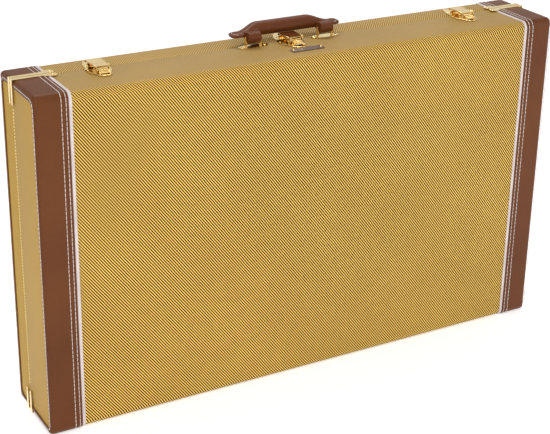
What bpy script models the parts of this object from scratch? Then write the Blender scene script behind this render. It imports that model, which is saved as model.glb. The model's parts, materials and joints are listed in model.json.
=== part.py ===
"""Tweed multi-guitar case: a suitcase-shaped stand case on its hinge edge.

Frame: +X along the length, +Y from the deep front half to the shallow rear half, +Z up.
The origin is the bottom centre of the case. Units are metres.
"""
import math

import bmesh
import bpy
from mathutils import Matrix, Vector

# ---- Driving dimensions -------------------------------------------------------------
LENGTH = 0.950
HEIGHT = 0.570
DEPTH = 0.150
SPLIT_Y = 0.020                 # where the two halves meet
SEAM_GAP = 0.0002               # each half stops this far from the split plane
CLEAR = 0.0003                  # gap between pieces that touch
SINK = 0.0003                   # how far a rivet head reaches into its plate
RIVET_RADIUS = 0.0018
RIVET_HEIGHT = 0.0009

EDGE_X = 0.009                  # rounding of the face edges, along the length
EDGE_Z = 0.014                  # rounding of the face edges, up and down
EDGE_Y = 0.012                  # depth that the rounding takes
CORNER = 0.007                  # rounding where the top meets an end
EDGE_STEPS = 4
CORNER_STEPS = 3

LEATHER = 0.0012                # leather thickness, the outermost layer
COVER_IN = LEATHER + CLEAR      # inset of the tweed's outside
COVER = 0.0008
SHELL_IN = COVER_IN + COVER + CLEAR
SHELL = 0.0062
LINING_IN = SHELL_IN + SHELL + CLEAR
LINING = 0.0020
INSIDE = LINING_IN + LINING     # inset of the free space

CAP_WIDTH = 0.054               # leather cap, from the end inwards
PIPING = 0.006
PIPING_THICK = 0.0010
WINDOW_FRONT = 0.008            # leather border round the tweed end panel
WINDOW_REAR = 0.015
WINDOW_ENDS = 0.011
WINDOW_RADIUS = 0.010

HINGE_Z = 0.0022                # hinge axis height
GROOVE = 0.0056                 # depth of the V groove under the split
HINGE_XS = (-0.300, 0.0, 0.300)
HINGE_LENGTH = 0.060
HINGE_REACH = 0.024
LEAF_THICK = 0.0010
KNUCKLE = 0.0020
KNUCKLES = 5
PIN = 0.0010
PIN_HOLE = 0.00108

TOP = HEIGHT - COVER_IN         # height of the tweed's top face
LATCH_X = 0.340
CENTRE_X = -0.004
LOCK_PLUG = 0.0030
LOCK_HOLE = 0.00308
HANDLE_Y = 0.010
BAIL_SPACING = 0.134
BAIL_HEIGHT = 0.0160
HANDLE_LEAN = math.radians(82)   # at rest the handle lies back from upright
GRIP_RISE = 0.030
GRIP_RADIUS = 0.0117
GRIP_HALF = 0.101
GRIP_DROP = 0.0135              # the paddles lie this much nearer the axis than the grip
GRIP_BEND = 0.45                # share of the half length where the grip starts to bend down
PADDLE_HALF = 0.0102            # half width of a paddle

CLIP_THICK = 0.0009             # brass clips over the split at the four corners
CLIP_WIDTH = 0.0085
CLIP_DROP = 0.040
CLIP_FLARE = 0.0145
CLIP_REACH = CAP_WIDTH + PIPING + 0.010
CLIP_SETBACK = 0.0030           # bottom clips, from the split: they clear each other as it opens
CLIP_GAP = SEAM_GAP + 0.0004    # top clips, from the split

PLATE_Y = (-0.0475, -0.0330)    # nameplate
PLATE_HALF = 0.029
PLATE_THICK = 0.0014

NOTCH_XS = (-0.320, -0.160, 0.0, 0.160, 0.320)


# ---- Materials ------------------------------------------------------------------------
def material(name, colour, roughness, metallic=0.0):
    made = bpy.data.materials.new(name)
    made.use_nodes = True
    shader = made.node_tree.nodes["Principled BSDF"]
    shader.inputs["Base Color"].default_value = (*colour, 1.0)
    shader.inputs["Roughness"].default_value = roughness
    shader.inputs["Metallic"].default_value = metallic
    return made


# ---- Mesh helpers ----------------------------------------------------------------------
def finish(name, mesh_builder, look):
    bmesh.ops.recalc_face_normals(mesh_builder, faces=mesh_builder.faces)
    mesh = bpy.data.meshes.new(name)
    mesh_builder.to_mesh(mesh)
    mesh_builder.free()
    mesh.shade_smooth()
    mesh.set_sharp_from_angle(angle=math.radians(35))
    made = bpy.data.objects.new(name, mesh)
    bpy.context.scene.collection.objects.link(made)
    mesh.materials.append(look)
    return made


def add_loft(mesh_builder, rings):
    """Join closed rings of equal length into one capped body."""
    rows = [[mesh_builder.verts.new(point) for point in ring] for ring in rings]
    count = len(rows[0])
    for row, following in zip(rows, rows[1:]):
        for index in range(count):
            after = (index + 1) % count
            mesh_builder.faces.new((row[index], row[after], following[after], following[index]))
    mesh_builder.faces.new(rows[0][::-1])
    mesh_builder.faces.new(rows[-1])


def along(axis, value, a, b):
    """Place the flat point (a, b) at value along an axis."""
    if axis == "X":
        return Vector((value, a, b))
    if axis == "Y":
        return Vector((a, value, b))
    return Vector((a, b, value))


def add_prism(mesh_builder, outline, axis, low, high):
    add_loft(mesh_builder, [[along(axis, value, a, b) for a, b in outline] for value in (low, high)])


def add_box(mesh_builder, low, high):
    outline = ((low[0], low[1]), (high[0], low[1]), (high[0], high[1]), (low[0], high[1]))
    add_prism(mesh_builder, outline, "Z", low[2], high[2])


def circle(radius, steps, centre=(0.0, 0.0), phase=0.0):
    turn = 2 * math.pi / steps
    angles = [phase + turn * index for index in range(steps)]
    return [(centre[0] + radius * math.cos(a), centre[1] + radius * math.sin(a)) for a in angles]


def arc(centre, radius, start, end, steps):
    angles = [math.radians(start + (end - start) * k / steps) for k in range(steps + 1)]
    return [(centre[0] + radius * math.cos(a), centre[1] + radius * math.sin(a)) for a in angles]


def rounded_rectangle(low, high, radius, steps):
    x0, y0 = low
    x1, y1 = high
    points = arc((x1 - radius, y0 + radius), radius, -90, 0, steps)
    points += arc((x1 - radius, y1 - radius), radius, 0, 90, steps)
    points += arc((x0 + radius, y1 - radius), radius, 90, 180, steps)
    points += arc((x0 + radius, y0 + radius), radius, 180, 270, steps)
    return points


def add_dome(mesh_builder, centre, radius, height, axis=(0, 0, 1), steps=8):
    """A rivet or screw head: a low dome with a flat underside."""
    turn = Vector((0, 0, 1)).rotation_difference(Vector(axis)).to_matrix()
    base = Vector(centre)
    rings = []
    for share, rise in ((1.0, 0.0), (0.94, 0.45), (0.62, 0.85), (0.22, 1.0)):
        ring = [turn @ Vector((a, b, rise * height)) + base for a, b in circle(share * radius, steps)]
        rings.append(ring)
    add_loft(mesh_builder, rings)


def combine(target, others, operation):
    """Apply a Boolean with each other object and remove it."""
    for other in others:
        modifier = target.modifiers.new(operation, "BOOLEAN")
        modifier.operation = operation
        modifier.object = other
        modifier.solver = "EXACT"
        bpy.context.view_layer.update()
        graph = bpy.context.evaluated_depsgraph_get()
        mesh = bpy.data.meshes.new_from_object(target.evaluated_get(graph))
        target.modifiers.clear()
        target.data = mesh
        bpy.data.objects.remove(other, do_unlink=True)
    return target


def prism(name, outline, axis, low, high, look):
    mesh_builder = bmesh.new()
    add_prism(mesh_builder, outline, axis, low, high)
    return finish(name, mesh_builder, look)


def with_heads(piece, places, radius, height, axis=(0, 0, 1)):
    """Fuse rivet or screw heads onto a plate. Each is sunk a little so that the two join."""
    heads = []
    for place in places:
        mesh_builder = bmesh.new()
        seat = Vector(place) - SINK * Vector(axis)
        add_dome(mesh_builder, seat, radius, height + SINK, axis)
        heads.append(finish("head", mesh_builder, piece.data.materials[0]))
    return combine(piece, heads, "UNION")


def box(name, low, high, look):
    mesh_builder = bmesh.new()
    add_box(mesh_builder, low, high)
    return finish(name, mesh_builder, look)


def cylinder(name, radius, low, high, look, centre=(0.0, 0.0), steps=12):
    """A round bar along X, centred on the (y, z) point."""
    return prism(name, circle(radius, steps, centre), "X", low, high, look)


def ride(children, pivot):
    """Parent the objects to a pivot empty and keep them where they are."""
    for child in children:
        child.parent = pivot
        child.matrix_parent_inverse = Matrix.Translation(pivot.location).inverted()


def pivot(name, place):
    made = bpy.data.objects.new(name, None)
    made.location = place
    bpy.context.scene.collection.objects.link(made)
    return made


# ---- Case halves -----------------------------------------------------------------------
class Half:
    """One half of the case. side is +1 for the front half, whose face is at -Y."""

    def __init__(self, name, side):
        self.name = name
        self.side = side
        self.face = -side * DEPTH / 2
        self.rim = SPLIT_Y - side * SEAM_GAP

    def ring(self, inset_x, inset_z, y):
        half_x = LENGTH / 2 - inset_x
        radius = max(CORNER - min(inset_x, inset_z), 0.0006)
        outline = rounded_rectangle((-half_x, inset_z), (half_x, HEIGHT - inset_z), radius, CORNER_STEPS)
        return [along("Y", y, a, b) for a, b in outline]

    def wall(self, inset):
        """Rings of the rounded surface at an inset, from the face to the rim."""
        depth = max(EDGE_Y - inset, 0.002)
        soft_x = max(EDGE_X - inset, 0.002)
        soft_z = max(EDGE_Z - inset, 0.002)
        rings = []
        for step in range(EDGE_STEPS + 1):
            angle = math.pi / 2 * step / EDGE_STEPS
            y = self.face + self.side * (inset + depth * (1 - math.cos(angle)))
            in_x = inset + soft_x * (1 - math.sin(angle))
            in_z = inset + soft_z * (1 - math.sin(angle))
            rings.append(self.ring(in_x, in_z, y))
        rings.append(self.ring(inset, inset, self.rim))
        return rings

    def tray(self, label, inset, thickness, look):
        mesh_builder = bmesh.new()
        rings = self.wall(inset) + self.wall(inset + thickness)[::-1]
        add_loft(mesh_builder, rings)
        made = finish(self.name + "_" + label, mesh_builder, look)
        return combine(made, [groove_cutter(look)], "DIFFERENCE")

    def profile(self, inset, thickness):
        """C-shaped section of a band that wraps the top, the face and the bottom."""
        outline = []
        for depth, backwards in ((inset, False), (inset + thickness, True)):
            rings = self.wall(depth)
            top = [(max(point.z for point in ring), ring[0].y) for ring in rings]
            bottom = [(min(point.z for point in ring), ring[0].y) for ring in rings]
            line = top[::-1] + bottom
            outline += line[::-1] if backwards else line
        return [(y, z) for z, y in outline]

    def cap(self, end, look):
        """Leather end cap: wraps the corner, with a window over the tweed end panel."""
        sign = -1 if end == "left" else 1
        made = self.tray("cap_" + end, 0.0, LEATHER, look)
        keep = LENGTH / 2 - CAP_WIDTH
        beyond = LENGTH
        span = sorted((sign * keep, -sign * beyond))
        trim = box("trim", (span[0], -DEPTH, -HEIGHT), (span[1], DEPTH, 2 * HEIGHT), look)
        low = (-DEPTH / 2 + WINDOW_FRONT, WINDOW_ENDS)
        high = (DEPTH / 2 - WINDOW_REAR, HEIGHT - WINDOW_ENDS)
        opening = rounded_rectangle(low, high, WINDOW_RADIUS, 4)
        reach = sorted((sign * (LENGTH / 2 - 2 * CORNER), sign * LENGTH))
        window = prism("window", opening, "X", reach[0], reach[1], look)
        return combine(made, [trim, window, clip_pocket(end, self.side, look)], "DIFFERENCE")

    def piping(self, end, look):
        sign = -1 if end == "left" else 1
        outer = sign * (LENGTH / 2 - CAP_WIDTH - CLEAR)
        inner = sign * (LENGTH / 2 - CAP_WIDTH - PIPING)
        inset = COVER_IN - CLEAR - PIPING_THICK
        low, high = sorted((inner, outer))
        made = prism(self.name + "_piping_" + end, self.profile(inset, PIPING_THICK), "X", low, high, look)
        return combine(made, [groove_cutter(look), clip_pocket(end, self.side, look)], "DIFFERENCE")


def clip_pocket(end, side, look):
    """Cutter for the recess under a bottom corner clip."""
    sign = -1 if end == "left" else 1
    near, far = sorted((sign * (LENGTH / 2 - CLIP_REACH - CLEAR), sign * LENGTH))
    low, high = sorted((SPLIT_Y + side * CLEAR, SPLIT_Y - side * (CLIP_FLARE + CLIP_SETBACK + 0.001)))
    return box("pocket", (near, low, -HEIGHT), (far, high, CLIP_THICK + 2 * CLEAR - 0.0001), look)


def groove_cutter(look):
    """The V groove that lets the hinge edge open."""
    diamond = ((SPLIT_Y - GROOVE, 0), (SPLIT_Y, -GROOVE), (SPLIT_Y + GROOVE, 0), (SPLIT_Y, GROOVE))
    return prism("groove", diamond, "X", -LENGTH, LENGTH, look)


def dust_lip(look):
    """Wooden lip inside three sides of the front half that closes the seam."""
    inset = INSIDE + CLEAR
    wall = 0.003
    half = LENGTH / 2 - inset
    top = HEIGHT - inset
    foot = 0.030
    outline = [(-half, foot), (-half, top), (half, top), (half, foot)]
    outline += [(half - wall, foot), (half - wall, top - wall), (wall - half, top - wall), (wall - half, foot)]
    return prism("dust_lip", outline, "Y", SPLIT_Y - 0.028, SPLIT_Y + 0.008, look)


# ---- Padded interior ----------------------------------------------------------------------
def interior(look):
    floor = -DEPTH / 2 + INSIDE + CLEAR
    half = LENGTH / 2 - INSIDE - 0.012
    parts = []
    pad_top = floor + 0.018
    outline = rounded_rectangle((-half, 0.105), (half, 0.355), 0.012, 3)
    parts.append(prism("body_pad", outline, "Y", floor, pad_top, look))
    for name, low in (("body_rail_lower", 0.062), ("body_rail_upper", 0.358)):
        section = rounded_rectangle((floor, low), (floor + 0.048, low + 0.040), 0.010, 3)
        parts.append(prism(name, section, "X", -half, half, look))
    return parts


def neck_rest(look):
    """Notched bar on the rear half that holds the guitar necks."""
    half = LENGTH / 2 - INSIDE - 0.012
    back = DEPTH / 2 - INSIDE - CLEAR
    front = -0.030
    notch = 0.024
    depth = 0.022
    outline = [(half, back), (-half, back), (-half, front)]
    for x in NOTCH_XS:
        outline += [(x - notch, front)]
        outline += arc((x, front + depth), notch, 180, 0, 8)
        outline += [(x + notch, front)]
    outline.append((half, front))
    return prism("neck_rest", outline, "Z", 0.455, 0.515, look)


# ---- Hinges -------------------------------------------------------------------------------
def hinge(name, x, look, pin_look):
    """A butt hinge under the case: two leaves and a pin. Returns the rear leaf."""
    step = HINGE_LENGTH / KNUCKLES
    low = x - HINGE_LENGTH / 2
    centre = (SPLIT_Y, HINGE_Z)
    floor = HINGE_Z - KNUCKLE
    leaves = []
    for side, label in ((1, "front"), (-1, "rear")):
        span = sorted((SPLIT_Y, SPLIT_Y - side * HINGE_REACH))
        leaf = box("%s_%s_leaf" % (name, label), (low, span[0], floor),
                   (low + HINGE_LENGTH, span[1], floor + LEAF_THICK), look)
        barrels = []
        gaps = []
        for index in range(KNUCKLES):
            start = low + index * step
            own = index % 2 == (0 if side == 1 else 1)
            if own:
                barrels.append(cylinder("barrel", KNUCKLE, start + CLEAR / 2, start + step - CLEAR / 2,
                                        look, centre))
                continue
            room = KNUCKLE + CLEAR
            reach = sorted((SPLIT_Y - side * room, SPLIT_Y + side * room))
            gaps.append(box("gap", (start - CLEAR / 2, reach[0], -room),
                            (start + step + CLEAR / 2, reach[1], HINGE_Z + room), look))
        combine(leaf, barrels, "UNION")
        bore = cylinder("bore", PIN_HOLE, low - step, low + HINGE_LENGTH + step, look, centre)
        combine(leaf, gaps + [bore], "DIFFERENCE")
        leaves.append(leaf)
    cylinder(name + "_pin", PIN, low - 0.0004, low + HINGE_LENGTH + 0.0004, pin_look, centre)
    return leaves[1]


# ---- Latches ------------------------------------------------------------------------------
class Latch:
    """A draw latch across the split on top. Its sizes grow with scale."""

    def __init__(self, name, x, scale, locked=False):
        self.name = name
        self.locked = locked
        self.lock_y = -0.0155 * scale
        self.origin = Vector((x, 0.0, TOP + CLEAR))
        self.k = scale
        self.lever_axis = (-0.006 * scale, 0.0060 * scale)
        self.hasp_axis = (-0.011 * scale, 0.0072 * scale)

    def place(self, made, axis_point):
        """Put an object's origin on its joint axis, or on the latch's own origin."""
        shift = Vector((0.0, *axis_point))
        made.data.transform(Matrix.Translation(-shift))
        made.location = self.origin + shift
        return made

    def base(self, look):
        k = self.k
        rim = SPLIT_Y - SEAM_GAP - CLEAR
        nose = -0.016 * k
        radius = 0.012 * k
        outline = [(0.017 * k, rim), (0.020 * k, 0.012), (0.019 * k, -0.002)]
        outline += arc((0.0, nose), radius, 0, -180, 8)
        outline += [(-0.019 * k, -0.002), (-0.020 * k, 0.012), (-0.017 * k, rim)]
        plate = prism(self.name + "_base", outline, "Z", 0.0, 0.0014, look)
        ears = []
        y, z = self.lever_axis
        for sign in (-1, 1):
            low, high = sorted((sign * 0.0110 * k, sign * 0.0122 * k))
            profile = [(y - 0.004 * k, 0.0007), (y + 0.004 * k, 0.0007)] + arc((y, z), 0.003 * k, 0, 180, 5)
            ears.append(prism("ear", profile, "X", low, high, look))
        combine(plate, ears, "UNION")
        bore = cylinder("bore", 0.00118, -0.02, 0.02, look, (y, z))
        combine(plate, [bore], "DIFFERENCE")
        with_heads(plate, [(sign * 0.0158 * k, 0.010, 0.0014) for sign in (-1, 1)], RIVET_RADIUS, RIVET_HEIGHT)
        return self.place(plate, (0.0, 0.0))

    def pin(self, look):
        y, z = self.lever_axis
        reach = 0.0130 * self.k
        made = cylinder(self.name + "_lever_pin", 0.0011, -reach, reach, look, (y, z))
        return self.place(made, (0.0, 0.0))

    def lever(self, look):
        k = self.k
        y, z = self.lever_axis
        body = arc((y, z), 0.0036 * k, -80, 95, 6)
        body += [(-0.0140 * k, 0.0085 * k), (-0.0245 * k, 0.0050 * k), (-0.0258 * k, 0.0034 * k),
                 (-0.0245 * k, 0.0024 * k)]
        made = prism(self.name + "_lever", body, "X", -0.009 * k, 0.009 * k, look)
        tab = [(-0.0150 * k, 0.0076 * k), (-0.0245 * k, 0.0046 * k), (-0.0262 * k, 0.0032 * k),
               (-0.0245 * k, 0.0026 * k), (-0.0150 * k, 0.0052 * k)]
        wing = prism("wing", tab, "X", -0.0118 * k, 0.0118 * k, look)
        combine(made, [wing], "UNION")
        bores = [cylinder("bore", 0.00118, -0.02, 0.02, look, (y, z))]
        if self.locked:
            bores.append(prism("bore", circle(LOCK_HOLE, 16, (0.0, self.lock_y)), "Z", -0.01, 0.03, look))
        combine(made, bores, "DIFFERENCE")
        return self.place(made, self.lever_axis)

    def lock_plug(self, look):
        """Round key plug, turned in the lever, with a slot for the key."""
        low = 0.0034 * self.k
        high = 0.0094 * self.k
        made = prism("lock_plug", circle(LOCK_PLUG, 16), "Z", low, high, look)
        slot = box("slot", (-0.0005, -0.0018, high - 0.0015), (0.0005, 0.0018, high + 0.001), look)
        combine(made, [slot], "DIFFERENCE")
        made.location = self.origin + Vector((0.0, self.lock_y, 0.0))
        return made

    def hasp(self, look, reach):
        k = self.k
        y, z = self.hasp_axis
        low = 0.0103 * k
        high = 0.0116 * k
        front = y + 0.0017 * k
        tail = [(front, low), (front, high - 0.0004), (front + 0.0004, high), (reach - 0.001, high),
                (reach, high - 0.001), (reach, 0.0078 * k), (reach - 0.0012, 0.0078 * k),
                (reach - 0.0012, low)]
        made = prism(self.name + "_hasp", tail, "X", -0.0130 * k, 0.0130 * k, look)
        cheeks = []
        for sign in (-1, 1):
            x0, x1 = sorted((sign * 0.0094 * k, sign * 0.0106 * k))
            profile = arc((y, z), 0.0026 * k, -180, 0, 6)
            profile += [(y + 0.0062 * k, high - 0.0005), (y + 0.0019 * k, high - 0.0005)]
            cheeks.append(prism("cheek", profile, "X", x0, x1, look))
        combine(made, cheeks, "UNION")
        return self.place(made, self.hasp_axis)

    def catch(self, look, reach):
        k = self.k
        rim = SPLIT_Y + SEAM_GAP + CLEAR
        radius = 0.0095 * k
        outline = [(-0.0160 * k, rim), (-0.0150 * k, rim + 0.014), (-radius, reach - radius)]
        outline += arc((0.0, reach - radius), radius, 180, 0, 8)[1:]
        outline += [(0.0150 * k, rim + 0.014), (0.0160 * k, rim)]
        plate = prism(self.name + "_catch", outline, "Z", 0.0, 0.0014, look)
        y = rim + 0.0035
        profile = [(y - 0.0030, 0.0007), (y + 0.0030, 0.0007)] + arc((y, 0.0046 * k), 0.0024, 0, 180, 5)
        ridge = prism("ridge", profile, "X", -0.011 * k, 0.011 * k, look)
        combine(plate, [ridge], "UNION")
        heads = [(sign * 0.0100 * k, SPLIT_Y + 0.014, 0.0014) for sign in (-1, 1)]
        heads.append((0.0, SPLIT_Y + 0.026 * k, 0.0014))
        with_heads(plate, heads, RIVET_RADIUS, RIVET_HEIGHT)
        return self.place(plate, (0.0, 0.0))


# ---- Handle -------------------------------------------------------------------------------
def handle_grip(look):
    """Round padded grip that flattens into a broad paddle at each end. Z is away from the axis."""
    mesh_builder = bmesh.new()
    rings = []
    stations = (-1.0, -0.985, -0.94, -0.86, -0.76, -0.64, -0.5, -0.25, 0.0)
    for share in stations + tuple(-s for s in stations[-2::-1]):
        flat = min(1.0, max(0.0, (abs(share) - GRIP_BEND) / 0.40))
        flat = flat * flat * (3 - 2 * flat)
        edge = math.sqrt(max(0.0, 1 - max(0.0, (abs(share) - 0.9) / 0.1) ** 2))
        tip = 0.45 + 0.55 * edge
        half_z = (GRIP_RADIUS + (PADDLE_HALF - GRIP_RADIUS) * flat) * tip
        half_y = (GRIP_RADIUS - 0.0080 * flat) * tip
        centre = GRIP_RISE - GRIP_DROP * flat
        ring = []
        for index in range(14):
            angle = 2 * math.pi * index / 14
            across = half_y * math.cos(angle)
            away = centre + half_z * math.sin(angle)
            ring.append(Vector((CENTRE_X + share * GRIP_HALF, across, away)))
        rings.append(ring)
    add_loft(mesh_builder, rings)
    return finish("handle_grip", mesh_builder, look)


def handle_strap(name, x, look):
    """Leather loop round the bail's bar, reaching up to the paddle. Z is away from the axis."""
    outer = 0.0042
    inner = 0.0023
    end = GRIP_RISE - GRIP_DROP - PADDLE_HALF - CLEAR
    neck = 0.0022
    profile = arc((0.0, 0.0), outer, 90 + 30, 360 + 60, 12)
    profile += [(neck, end), (-neck, end)]
    made = prism(name, profile, "X", x - 0.0115, x + 0.0115, look)
    bore = cylinder("bore", inner, x - 0.02, x + 0.02, look)
    return combine(made, [bore], "DIFFERENCE")


def bail(name, x, look):
    """Brass loop that stands on its plate: two posts and a round bar."""
    foot = TOP + CLEAR + 0.0012 + CLEAR
    bar_z = TOP + BAIL_HEIGHT
    bar = cylinder(name, 0.0019, x - 0.0150, x + 0.0150, look, (HANDLE_Y, bar_z))
    posts = []
    for sign in (-1, 1):
        low, high = sorted((x + sign * 0.0120, x + sign * 0.0150))
        posts.append(box("post", (low, HANDLE_Y - 0.0016, foot), (high, HANDLE_Y + 0.0016, bar_z + 0.0024), look))
    return combine(bar, posts, "UNION")


def bail_plate(name, x, look):
    outline = []
    for angle in range(0, 360, 15):
        a = math.radians(angle)
        outline.append((x + 0.027 * math.cos(a), HANDLE_Y + 0.0085 * math.sin(a)))
    surface = TOP + CLEAR + 0.0012
    plate = prism(name, outline, "Z", TOP + CLEAR, surface, look)
    heads = [(x + reach, HANDLE_Y, surface) for reach in (-0.0205, 0.0205)]
    return with_heads(plate, heads, 0.0026, 0.0012)


# ---- Corner clips --------------------------------------------------------------------------
def corner_clip(name, end, level, side, look):
    """Brass strap beside the split: along the top or bottom, then along the end face."""
    sign = -1 if end == "left" else 1
    rise = 1 if level == "top" else -1
    outside = LENGTH / 2 + CLIP_THICK + CLEAR
    near = SPLIT_Y - side * (CLIP_GAP if level == "top" else CLIP_SETBACK)
    narrow = near - side * CLIP_WIDTH
    wide = near - side * CLIP_FLARE
    inner = LENGTH / 2 - CLIP_REACH
    flare_start = LENGTH / 2 - CAP_WIDTH + 0.004
    plan = [(outside, near), (inner + 0.003, near), (inner, near - side * 0.004), (inner, wide + side * 0.004),
            (inner + 0.003, wide), (flare_start - 0.006, wide), (flare_start, narrow), (outside, narrow)]
    plan = [(sign * x, y) for x, y in plan]
    low = HEIGHT + CLEAR if level == "top" else 0.0002
    high = low + CLIP_THICK
    strap = prism(name, plan, "Z", low, high, look)
    root = high if level == "top" else low
    tip = HEIGHT - CLIP_DROP if level == "top" else CLIP_DROP
    mid = (near + narrow) / 2
    radius = CLIP_WIDTH * 0.36
    fall = [(near, root), (narrow, root), (mid - side * radius, tip + rise * radius)]
    bend = arc((mid, tip + rise * radius), radius, 180 if side == 1 else 0, 360 if side == 1 else -180, 6)
    if rise == -1:
        bend = [(y, 2 * (tip + rise * radius) - z) for y, z in bend]
    fall += bend[1:]
    x0, x1 = sorted((sign * (LENGTH / 2 + CLEAR), sign * outside))
    leg = prism("leg", fall, "X", x0, x1, look)
    combine(strap, [leg], "UNION")
    if level == "top":
        on_top = [(sign * (LENGTH / 2 - inset), near - side * across, high)
                  for inset, across in ((CLIP_REACH - 0.004, 0.0105), (CLIP_REACH - 0.005, 0.0038))]
        with_heads(strap, on_top, RIVET_RADIUS, RIVET_HEIGHT)
    on_end = [(sign * outside, mid, tip + rise * up) for up in (0.006, 0.028)]
    return with_heads(strap, on_end, RIVET_RADIUS, RIVET_HEIGHT, (sign, 0, 0))


# ---- Nameplate -------------------------------------------------------------------------------
def nameplate(look):
    outline = rounded_rectangle((-PLATE_HALF, PLATE_Y[0]), (PLATE_HALF, PLATE_Y[1]), 0.0015, 2)
    surface = TOP + CLEAR + PLATE_THICK
    plate = prism("nameplate", outline, "Z", TOP + CLEAR, surface, look)
    middle = (PLATE_Y[0] + PLATE_Y[1]) / 2
    pins = [(side * (PLATE_HALF - 0.0035), middle, surface) for side in (-1, 1)]
    return with_heads(plate, pins, 0.0014, RIVET_HEIGHT)


# ---- Assembly ----------------------------------------------------------------------------------
def case_half(half, looks):
    """Shell, tweed, lining, leather caps and piping of one half."""
    parts = [half.tray("tweed", COVER_IN, COVER, looks["tweed"])]
    parts.append(half.tray("shell", SHELL_IN, SHELL, looks["wood"]))
    parts.append(half.tray("lining", LINING_IN, LINING, looks["plush"]))
    for end in ("left", "right"):
        parts.append(half.cap(end, looks["leather"]))
        parts.append(half.piping(end, looks["piping"]))
    return parts


def clips(half, brass):
    """The four clips of one half."""
    parts = []
    for end in ("left", "right"):
        for level in ("top", "bottom"):
            name = "clip_%s_%s_%s" % (level, end, half.name)
            parts.append(corner_clip(name, end, level, half.side, brass))
    return parts


def handle(looks):
    """Handle, bails, plates and screws. Only the grip and its straps swing."""
    axis = pivot("handle_axis", (0.0, HANDLE_Y, TOP + BAIL_HEIGHT))
    axis.rotation_euler = (-HANDLE_LEAN, 0.0, 0.0)
    swinging = [handle_grip(looks["handle"])]
    for label, side in (("left", -1), ("right", 1)):
        x = CENTRE_X + side * BAIL_SPACING / 2
        swinging.append(handle_strap("handle_strap_" + label, x, looks["handle"]))
        bail("bail_" + label, x, looks["brass"])
        bail_plate("bail_plate_" + label, x, looks["brass"])
    for piece in swinging:
        piece.parent = axis


def latches(brass, steel):
    """The three latches. Returns their rear pieces, which ride on the rear half."""
    rear = []
    for name, x, scale, hasp_reach, catch_reach in (
            ("left_latch", -LATCH_X, 1.0, 0.031, 0.058),
            ("centre_latch", CENTRE_X, 1.1, 0.0245, 0.056),
            ("right_latch", LATCH_X, 1.0, 0.031, 0.058)):
        latch = Latch(name, x, scale, name == "centre_latch")
        latch.base(brass)
        latch.pin(steel)
        latch.lever(brass)
        latch.hasp(brass, hasp_reach)
        rear.append(latch.catch(brass, catch_reach))
        if latch.locked:
            latch.lock_plug(brass)
    return rear


def main():
    for old in list(bpy.data.objects):
        bpy.data.objects.remove(old, do_unlink=True)
    looks = {
        "tweed": material("tweed", (0.62, 0.44, 0.13), 0.75),
        "leather": material("cap_leather", (0.20, 0.07, 0.03), 0.5),
        "piping": material("piping", (0.85, 0.80, 0.78), 0.5),
        "wood": material("plywood", (0.60, 0.42, 0.24), 0.6),
        "plush": material("plush", (0.30, 0.04, 0.05), 0.95),
        "brass": material("polished_brass", (0.90, 0.68, 0.28), 0.15, 1.0),
        "steel": material("steel", (0.60, 0.60, 0.60), 0.3, 1.0),
        "handle": material("handle_leather", (0.16, 0.05, 0.02), 0.45),
        "plate": material("nameplate", (0.18, 0.12, 0.10), 0.25),
    }
    front = Half("front", 1)
    rear = Half("rear", -1)
    lid_axis = pivot("lid_axis", (0.0, SPLIT_Y, HINGE_Z))

    case_half(front, looks)
    dust_lip(looks["wood"])
    interior(looks["plush"])
    clips(front, looks["brass"])
    handle(looks)
    nameplate(looks["plate"])

    riding = case_half(rear, looks) + clips(rear, looks["brass"]) + [neck_rest(looks["plush"])]
    riding += latches(looks["brass"], looks["steel"])
    for label, x in zip(("left", "centre", "right"), HINGE_XS):
        riding.append(hinge("hinge_" + label, x, looks["brass"], looks["steel"]))
    ride(riding, lid_axis)


main()
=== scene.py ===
"""Looks of the tweed guitar case: covers, leather, stitching, brass and padded interior."""
import json
import math
import random

import bmesh
import bpy
from mathutils import Matrix, Vector


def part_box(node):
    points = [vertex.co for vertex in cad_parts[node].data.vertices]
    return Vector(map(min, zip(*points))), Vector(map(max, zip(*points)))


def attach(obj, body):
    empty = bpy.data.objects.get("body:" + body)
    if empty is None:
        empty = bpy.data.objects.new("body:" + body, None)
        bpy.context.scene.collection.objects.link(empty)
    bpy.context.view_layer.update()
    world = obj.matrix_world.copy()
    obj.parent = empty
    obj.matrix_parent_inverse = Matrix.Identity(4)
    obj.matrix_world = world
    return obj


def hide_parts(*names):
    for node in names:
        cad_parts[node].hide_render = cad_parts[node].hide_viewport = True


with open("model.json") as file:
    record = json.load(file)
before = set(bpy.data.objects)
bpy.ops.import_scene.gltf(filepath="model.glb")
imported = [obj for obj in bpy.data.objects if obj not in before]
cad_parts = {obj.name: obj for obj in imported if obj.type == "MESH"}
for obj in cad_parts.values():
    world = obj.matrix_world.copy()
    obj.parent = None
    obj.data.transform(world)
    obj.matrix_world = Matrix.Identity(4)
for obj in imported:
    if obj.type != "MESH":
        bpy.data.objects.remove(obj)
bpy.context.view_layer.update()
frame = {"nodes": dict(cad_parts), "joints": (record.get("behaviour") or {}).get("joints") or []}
NODES = frame["nodes"]

# ---- Sizes read from the frame -----------------------------------------------------------
FRONT_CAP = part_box("front_cap_left")
REAR_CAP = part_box("rear_cap_right")
HALF_LENGTH = -FRONT_CAP[0][0]
HEIGHT = FRONT_CAP[1][2]
FACE_Y = {"front": FRONT_CAP[0][1], "rear": REAR_CAP[1][1]}
RIM_Y = {"front": FRONT_CAP[1][1], "rear": REAR_CAP[0][1]}
SPLIT_Y = (RIM_Y["front"] + RIM_Y["rear"]) / 2
SIDE = {"front": 1, "rear": -1}
CAP_WIDTH = FRONT_CAP[1][0] - FRONT_CAP[0][0]
COVER_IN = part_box("front_tweed")[0][1] - FRONT_CAP[0][1]
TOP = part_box("front_tweed")[1][2]

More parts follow.
